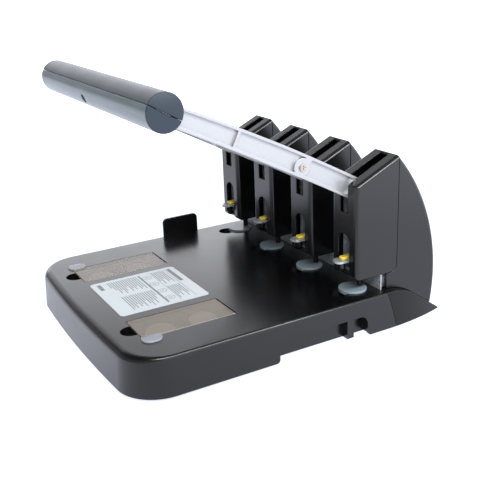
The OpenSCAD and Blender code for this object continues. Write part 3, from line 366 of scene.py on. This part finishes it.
def label_film():
    """Pale glossy film with faint unevenness."""
    finish = Finish("label_film")
    pale = finish.tint(finish.noise(FILM_CLOUDS), FILM_DARK, FILM_LIGHT)
    finish.colour(finish.tint(finish.noise(FIBRE_SIZE, detail=3.0), FILM_FIBRE, pale))
    finish.roughness(finish.span(finish.noise(FILM_PATCH), *FILM_ROUGH))
    finish.bump(finish.noise(WAVE_SIZE, detail=1.0), FILM_WAVE)
    return finish.material


def label_ink():
    """Dark grey ink of the plain bars, slightly broken by the film's grain."""
    finish = Finish("label_ink")
    finish.colour(finish.tint(finish.noise(INK_GRAIN), INK_DARK, INK_LIGHT))
    finish.roughness(finish.span(finish.noise(INK_PATCH), *INK_ROUGH))
    return finish.material


# Metal: its slow stains, its tool marks and its edges painted lighter as highlights
STAIN_SIZE = 12 * MM
STAIN_DARK = 0.94
STAIN_LIGHT = 1.05
MARK_FROM = 0.4
MARK_TO = 0.7
MARK_SHARE = 0.35
MARK_SHADE = 0.75
MARK_SMOOTHER = 0.06
MARK_ROUGHER = 0.08
METAL_HIGHLIGHT_WIDTH = 0.5 * MM
METALS = {
    "steel": {
        "colour": (0.56, 0.57, 0.59), "rough": 0.26, "grain": 0.5 * MM, "depth": 0.006 * MM,
        "stretch": (0.4, 6, 6),
    },
    "spring_steel": {"colour": (0.40, 0.41, 0.43), "rough": 0.30, "grain": 0.4 * MM, "depth": 0.006 * MM},
    "black_steel": {
        "colour": (0.035, 0.035, 0.038), "rough": 0.34, "grain": 0.5 * MM, "depth": 0.006 * MM,
        "stretch": (1, 1, 8), "wear": 2.5,
    },
    "bronze": {"colour": (0.55, 0.40, 0.22), "rough": 0.36, "grain": 0.35 * MM, "depth": 0.02 * MM},
    "brass_screw": {"colour": (0.44, 0.40, 0.33), "rough": 0.32, "grain": 0.3 * MM, "depth": 0.008 * MM},
}


def metal(name, colour, rough, grain, depth, stretch=EVEN, wear=1.1, metallic=1.0):
    """Bare metal with fine tool marks drawn out along some axes, slow stains and edges painted lighter as
    highlights.
    """
    finish = Finish(name, Metallic=metallic)
    marks = finish.noise(grain, detail=4.0, stretch=stretch)
    stains = finish.noise(STAIN_SIZE, detail=3.0)
    body = finish.tint(stains, times(colour, STAIN_DARK), times(colour, STAIN_LIGHT))
    share = finish.span(marks, 0.0, MARK_SHARE, MARK_FROM, MARK_TO)
    lined = finish.tint(share, body, times(colour, MARK_SHADE))
    # Corners painted lighter: a painted highlight along the edges
    finish.colour(finish.tint(finish.edges(METAL_HIGHLIGHT_WIDTH), lined, times(colour, wear)))
    finish.roughness(finish.spread(marks, rough - MARK_SMOOTHER, rough + MARK_ROUGHER))
    finish.bump(marks, depth)
    return finish


# Zinc: a metal under a spangle, which is dark where crystals and clouds add up
ZINC = (0.5, 0.54, 0.565)
ZINC_LOOK = {
    "colour": ZINC, "rough": 0.4, "grain": 0.6 * MM, "depth": 0.004 * MM, "stretch": (8, 1, 1),
    "metallic": 0.55,
}
CRYSTAL_SIZE = 1.7 * MM
CLOUD_SIZE = 3 * MM
SPANGLE_FROM = 0.85
SPANGLE_TO = 1.35
SPANGLE_SHARE = 0.6
SPANGLE_SHADE = 0.42
SPANGLE_ROUGH = (0.36, 0.5)


def zinc_plate():
    """Zinc plated sheet: a mottled spangle of light and dark crystals."""
    finish = metal("zinc_plate", **ZINC_LOOK)
    spangle = finish.math("ADD", finish.cells(CRYSTAL_SIZE), finish.noise(CLOUD_SIZE, detail=3.0))
    dark = finish.span(spangle, 0.0, SPANGLE_SHARE, SPANGLE_FROM, SPANGLE_TO)
    finish.colour(finish.tint(dark, finish.body, times(ZINC, SPANGLE_SHADE)))
    finish.roughness(finish.span(dark, *SPANGLE_ROUGH))
    return finish.material


# Silver lacquer: its flake, the grit and skin of the casting under it and its edges, rounded in shading and
# painted lighter as highlights
SILVER = (0.365, 0.376, 0.386)
FLAKE_SIZE = 0.35 * MM
FLAKE_DARK = 0.93
FLAKE_LIGHT = 1.05
GRIT_SIZE = 0.5 * MM
GRIT_DEPTH = 0.01 * MM
SKIN_SIZE = 7 * MM
SKIN_DEPTH = 0.05 * MM
SKIN_ROUGH = (0.30, 0.38)
CAST_EDGE = 0.8 * MM
CAST_EDGE_HIGHLIGHT = 1.1


def cast_alloy():
    """Silver lacquer on a casting: fine flake, a slightly uneven skin and softened edges, painted lighter as
    highlights.
    """
    finish = Finish("cast_alloy", Metallic=0.5)
    finish.soften(CAST_EDGE)
    flake = finish.cells(FLAKE_SIZE)
    skin = finish.noise(SKIN_SIZE)
    body = finish.tint(flake, times(SILVER, FLAKE_DARK), times(SILVER, FLAKE_LIGHT))
    # Corners painted lighter: a painted highlight along the edges
    finish.colour(finish.tint(finish.edges(CAST_EDGE), body, times(SILVER, CAST_EDGE_HIGHLIGHT)))
    finish.roughness(finish.span(skin, *SKIN_ROUGH))
    finish.bump(finish.noise(GRIT_SIZE), GRIT_DEPTH)
    finish.bump(skin, SKIN_DEPTH)
    return finish.material


SINGLE = (smoke_plastic, label_film, label_ink, zinc_plate, cast_alloy)
MATERIALS = {name: moulded(name, **look).material for name, look in PLASTICS.items()}
MATERIALS.update({name: grip_shell(name, **look) for name, look in GRIPS.items()})
MATERIALS.update({name: metal(name, **look).material for name, look in METALS.items()})
MATERIALS.update({make.__name__: make() for make in SINGLE})
# Nodes in another shade of their slot's finish: copies that paint shade on the rear foot, by weaker
# reflection, and light on the grip's lower shell and the spare discs, by a lighter colour
LIT_AND_SHADED_COPIES = {"rear_foot": "foot_plastic_painted_shade", "grip_bottom": "grip_underside_painted_light", "spare_discs": "disc_plastic_painted_light"}


# Edge rounds of the carried-over solids. Those not named keep their edges.
EDGE_ROUND = {
    "rear_foot": 0.5 * MM, "punch_housing": 0.6 * MM, "rear_cover": 0.6 * MM, "paper_guide": 0.9 * MM,
    "cutting_disc": 0.5 * MM, "spare_discs": 0.5 * MM, "grip_top": 0.4 * MM, "grip_bottom": 0.4 * MM,
    "release_knob": 0.5 * MM, "release_slide": 0.3 * MM, "release_tip": 1.0 * MM, "back_stop": 0.2 * MM,
    "bay_lid_left": 0.25 * MM, "bay_lid_right": 0.25 * MM, "rubber_feet": 0.6 * MM, "plunger": 0.3 * MM,
    "case_screws": 0.15 * MM, "lever_screws": 0.15 * MM, "tie_rod": 0.4 * MM, "punch_pin": 0.2 * MM,
}
SHARP_ANGLE = math.radians(32)
WELD_WITHIN = 0.002 * MM
FLAT_WITHIN = math.radians(0.3)
ROUND_STEPS = 3


def family(node):
    """The name that numbered nodes share."""
    head, _, tail = node.rpartition("_")
    return head if tail.isdigit() else node


def smooth_group():
    """Geometry nodes that shade smoothly and keep edges above the sharp angle crisp."""
    group = bpy.data.node_groups.new("smooth_by_angle", "GeometryNodeTree")
    for way in ("INPUT", "OUTPUT"):
        group.interface.new_socket("Geometry", in_out=way, socket_type="NodeSocketGeometry")
    start = group.nodes.new("NodeGroupInput")
    end = group.nodes.new("NodeGroupOutput")
    faces = group.nodes.new("GeometryNodeSetShadeSmooth")
    edges = group.nodes.new("GeometryNodeSetShadeSmooth")
    edges.domain = "EDGE"
    angle = group.nodes.new("GeometryNodeInputMeshEdgeAngle")
    below = group.nodes.new("FunctionNodeCompare")
    below.operation = "LESS_THAN"
    below.inputs["B"].default_value = SHARP_ANGLE
    group.links.new(angle.outputs["Unsigned Angle"], below.inputs["A"])
    group.links.new(start.outputs[0], faces.inputs["Geometry"])
    group.links.new(faces.outputs[0], edges.inputs["Geometry"])
    group.links.new(below.outputs[0], edges.inputs["Shade Smooth"])
    group.links.new(edges.outputs[0], end.inputs[0])
    return group


SMOOTH = smooth_group()


def round_edges(piece, width):
    """Rounds a piece's sharp edges and shades its curved faces smoothly."""
    weld = piece.modifiers.new("weld", "WELD")
    weld.merge_threshold = WELD_WITHIN
    flat = piece.modifiers.new("flat", "DECIMATE")
    flat.decimate_type = "DISSOLVE"
    flat.angle_limit = FLAT_WITHIN
    if width:
        bevel = piece.modifiers.new("edge", "BEVEL")
        bevel.width = width
        bevel.segments = ROUND_STEPS
        bevel.limit_method = "ANGLE"
        bevel.angle_limit = SHARP_ANGLE
        bevel.use_clamp_overlap = False
        bevel.miter_outer = "MITER_ARC"
    shade = piece.modifiers.new("smooth", "NODES")
    shade.node_group = SMOOTH
    normals = piece.modifiers.new("normals", "WEIGHTED_NORMAL")
    normals.keep_sharp = True


def paint(piece, finish):
    """Gives a piece one material."""
    piece.data.materials.clear()
    piece.data.materials.append(MATERIALS[finish])


def dress_nodes():
    """Finishes and edge rounds of every carried-over solid."""
    for name, piece in NODES.items():
        paint(piece, LIT_AND_SHADED_COPIES.get(name, SLOT_OF[name]))
        round_edges(piece, EDGE_ROUND.get(family(name), 0))


# Pieces made here
def new_piece(name, mesh_maker, body, finish):
    """A mesh piece, which rides on a body if one is given."""
    mesh = bpy.data.meshes.new(name)
    shape = bmesh.new()
    mesh_maker(shape)
    bmesh.ops.recalc_face_normals(shape, faces=shape.faces)
    shape.to_mesh(mesh)
    shape.free()
    piece = bpy.data.objects.new(name, mesh)
    bpy.context.scene.collection.objects.link(piece)
    paint(piece, finish)
    if body:
        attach(piece, body)
    return piece


def add_prism(shape, outline, low, high):
    """A closed prism on an outline of plan points."""
    under = [shape.verts.new((x, y, low)) for x, y in outline]
    above = [shape.verts.new((x, y, high)) for x, y in outline]
    shape.faces.new(list(reversed(under)))
    shape.faces.new(above)
    count = len(outline)
    for i in range(count):
        j = (i + 1) % count
        shape.faces.new((under[i], under[j], above[j], above[i]))


INK_HEIGHT = 0.04 * MM
INK_SUNK = 0.02 * MM
RING_STEPS = 28


def add_bar(shape, x, y, width, length, top):
    """A printed bar with its near left corner at x, y."""
    outline = [(x, y), (x + width, y), (x + width, y + length), (x, y + length)]
    add_prism(shape, outline, top - INK_SUNK, top + INK_HEIGHT)


def add_ring(shape, x, y, radius, width, top):
    """A printed ring."""
    inner = radius - width
    loops = []
    for r, z in ((radius, -INK_SUNK), (radius, INK_HEIGHT), (inner, INK_HEIGHT), (inner, -INK_SUNK)):
        turns = [2 * math.pi * k / RING_STEPS for k in range(RING_STEPS)]
        loops.append([shape.verts.new((x + r * math.cos(a), y + r * math.sin(a), top + z)) for a in turns])
    for i, loop in enumerate(loops):
        after = loops[(i + 1) % len(loops)]
        for k in range(RING_STEPS):
            n = (k + 1) % RING_STEPS
            shape.faces.new((loop[k], loop[n], after[n], after[k]))


# Label print: margins, bars, rings and shares of a width that bars fill
MARGIN = 6 * MM
BAR_HEIGHT = 1.0 * MM
BAR_PITCH = 2.5 * MM
RULE = 0.5 * MM
BLOCK = 4.4 * MM
COLUMN_GAP = 5 * MM
RING_RADIUS = 5.2 * MM
HUB_RADIUS = 1.9 * MM
RING_WIDTH = 0.6 * MM
RING_ROOM = 15 * MM
TITLE_SHARE = 0.46
NOTE_SHARE = 0.2
LEFT_ROWS = (0.92, 0.78, 0.86, 0.60, 0.95, 0.70)
RIGHT_ROWS = (0.70, 0.88, 0.52, 0.80, 0.64, 0.90)
LOW_ROWS = (0.95, 0.82, 0.90, 0.66, 0.86, 0.74, 0.92, 0.58, 0.80, 0.97, 0.70, 0.88, 0.62, 0.40)


def add_rows(shape, x, y, width, shares, top):
    """Bars below each other that fill shares of a width. Gives the place under the last one."""
    for share in shares:
        add_bar(shape, x, y - BAR_HEIGHT, share * width, BAR_HEIGHT, top)
        y -= BAR_PITCH
    return y


def label_print(shape):
    """Plain bars, rules and a row of rings in a layout of their own."""
    low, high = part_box("instruction_label")
    left = low.x + MARGIN
    width = high.x - MARGIN - left
    column = (width - COLUMN_GAP) / 2
    second = left + column + COLUMN_GAP
    top = high.z
    y = high.y - MARGIN - BLOCK
    add_bar(shape, left, y, TITLE_SHARE * width, BLOCK, top)
    y -= BAR_PITCH
    add_bar(shape, left, y, width, RULE, top)
    y -= BAR_PITCH
    add_rows(shape, second, y, column, RIGHT_ROWS, top)
    y = add_rows(shape, left, y, column, LEFT_ROWS, top)
    add_bar(shape, left, y, width, RULE, top)
    for k in range(len(TOWERS)):
        x = left + (k + 0.5) * width / len(TOWERS)
        for radius in (RING_RADIUS, HUB_RADIUS):
            add_ring(shape, x, y - RING_ROOM / 2, radius, RING_WIDTH, top)
    y -= RING_ROOM
    add_bar(shape, left, y, width, BLOCK / 2, top)
    y -= BAR_PITCH
    add_rows(shape, left, y, column, LOW_ROWS, top)
    add_rows(shape, second, y, column, LOW_ROWS[::-1], top)
    add_bar(shape, left, low.y + MARGIN, NOTE_SHARE * width, BLOCK, top)


UP = Vector((0, 0, 1))
SPRING_WIRE = 0.7 * MM
SPRING_TURNS = 3
SPRING_RINGS = 28
SPRING_SIDES = 10


def add_coil(shape, centre, radius, rise):
    """A closed round wire wound upwards from a centre."""
    count = SPRING_TURNS * SPRING_RINGS
    rings = []
    for k in range(count + 1):
        turn = 2 * math.pi * k / SPRING_RINGS
        out = Vector((math.cos(turn), math.sin(turn), 0))
        middle = centre + radius * out + rise * k / count * UP
        ring = []
        for j in range(SPRING_SIDES):
            around = 2 * math.pi * j / SPRING_SIDES
            offset = math.cos(around) * out + math.sin(around) * UP
            ring.append(shape.verts.new(middle + SPRING_WIRE / 2 * offset))
        rings.append(ring)
    for ring, after in zip(rings, rings[1:]):
        for j in range(SPRING_SIDES):
            n = (j + 1) % SPRING_SIDES
            shape.faces.new((ring[j], ring[n], after[n], after[j]))
    shape.faces.new(rings[0])
    shape.faces.new(rings[-1])
    for face in shape.faces:
        face.smooth = True


def make_spring(number):
    """A return spring, wound within its carried-over part's box, which it stands in for."""
    node = f"return_spring_{number}"
    low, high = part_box(node)
    middle = (low + high) / 2
    radius = (high.x - low.x - SPRING_WIRE) / 2
    centre = Vector((middle.x, middle.y, low.z + SPRING_WIRE / 2))
    rise = high.z - low.z - SPRING_WIRE

    def coil(shape):
        add_coil(shape, centre, radius, rise)

    spring = new_piece(f"spring_coil_{number}", coil, None, "spring_steel")
    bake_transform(spring)
    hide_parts(node)


# Floor, light and view
FLOOR_SIZE = 8.0
FLOOR_GAP = 0.2 * MM
FLOOR_GLOW = 0.52
FLOOR_TINT = (0.93, 0.96, 1.14, 1)
FLOOR_DARK = (0.34, 0.34, 0.34)
FLOOR_LIGHT = (0.36, 0.36, 0.36)
FLOOR_CLOUDS = 300 * MM
# Brighter pools of the floor: middle, radius and added glow at the middle
POOLS = (((-0.42, -0.20, 0), 0.30, 0.8), ((-0.03, -0.32, 0), 0.26, 0.95))
# Added glow away from the object, by the distance from its middle
FAR_GLOW = 0.85
FAR_FROM = 0.5
FAR_TO = 0.9
# Added glow towards the rear
REAR_GLOW = 0.36
REAR_FROM = -0.25
REAR_TO = 0.05
# Brightness of the studio by the sine of the height above the horizon, as shares of its peak
SKY_PEAK = 3.2
SKY = (
    (0.0, 0.5), (0.30, 1.0), (0.335, 1.0), (0.351, 0.76),
    (0.39, 0.54), (0.44, 0.30), (0.60, 0.32), (0.90, 0.16),
)
SKY_TINT = (0.97, 0.975, 1.03, 1)
# Least strength for the camera, which makes all three colours white
CAMERA_WHITE = 1.1
# The studio falls to a share of its brightness towards the front, by the direction's Y
DARK_BEFORE = -0.3
DARK_SHARE = 0.2
# Soft lights: place, aim, width, level length and watts
LIGHTS = {
    "key_light": ((0.92, 0.05, 0.85), (0, 0.05, 0.1), 0.18, 1.3, 17),
    "fill_light": ((0.78, -0.455, 0.884), (0, 0, 0.1), 0.5, 0.5, 2),
}


def make_floor():
    """A plain pale floor that glows more brightly in pools, behind the object and far from it."""
    bpy.ops.mesh.primitive_plane_add(size=FLOOR_SIZE, location=(0, 0, -FLOOR_GAP))
    floor = bpy.context.object
    floor.name = "floor"
    finish = Finish("floor", Roughness=0.9)
    finish.colour(finish.tint(finish.noise(FLOOR_CLOUDS), FLOOR_DARK, FLOOR_LIGHT))
    along = finish.parts(finish.place)["Y"]
    glow = finish.math("ADD", finish.span(along, 0.0, REAR_GLOW, REAR_FROM, REAR_TO), FLOOR_GLOW)
    distance = finish.add("ShaderNodeVectorMath", {0: finish.place}, operation="LENGTH").outputs["Value"]
    glow = finish.math("ADD", glow, finish.span(distance, 0.0, FAR_GLOW, FAR_FROM, FAR_TO))
    for middle, radius, added in POOLS:
        away = finish.add("ShaderNodeVectorMath", {0: finish.place, 1: middle}, operation="DISTANCE")
        glow = finish.math("ADD", glow, finish.span(away.outputs["Value"], added, 0.0, 0.0, radius))
    finish.put(finish.shader, "Emission Color", FLOOR_TINT)
    finish.put(finish.shader, "Emission Strength", glow)
    floor.data.materials.append(finish.material)


def make_world():
    """White for the camera, and for reflections brightest low behind the object."""
    world = bpy.data.worlds.new("studio")
    bpy.context.scene.world = world
    world.use_nodes = True
    graph = Graph(world.node_tree)
    background = graph.tree.nodes["Background"]
    graph.put(background, "Color", SKY_TINT)
    towards = graph.parts(graph.add("ShaderNodeTexCoord").outputs["Generated"])
    ramp = graph.add("ShaderNodeValToRGB", {"Fac": towards["Z"]})
    stops = ramp.color_ramp.elements
    for place, _ in SKY[1:-1]:
        stops.new(place)
    for stop, (place, share) in zip(stops, SKY):
        stop.position = place
        stop.color = (share, share, share, 1)
    before = graph.span(towards["Y"], DARK_SHARE * SKY_PEAK, SKY_PEAK, DARK_BEFORE, 0.0)
    sky = graph.math("MULTIPLY", ramp.outputs["Color"], before)
    seen = graph.add("ShaderNodeLightPath").outputs["Is Camera Ray"]
    white = graph.math("MULTIPLY", seen, CAMERA_WHITE)
    graph.put(background, "Strength", graph.math("MAXIMUM", sky, white))


def make_light(name, at, aim, width, length, watts):
    """A rectangular soft light, its length level."""
    data = bpy.data.lights.new(name, "AREA")
    data.shape = "RECTANGLE"
    data.size = width
    data.size_y = length
    data.energy = watts
    light = bpy.data.objects.new(name, data)
    light.visible_camera = False
    light.location = at
    light.rotation_euler = (Vector(aim) - Vector(at)).to_track_quat("-Z", "X").to_euler()
    bpy.context.scene.collection.objects.link(light)


make_camera()
dress_nodes()
new_piece("label_print", label_print, "base", "label_ink")
for tower in TOWERS:
    make_spring(tower)
make_floor()
make_world()
for name, light in LIGHTS.items():
    make_light(name, *light)
bpy.context.scene.view_settings.view_transform = "Standard"
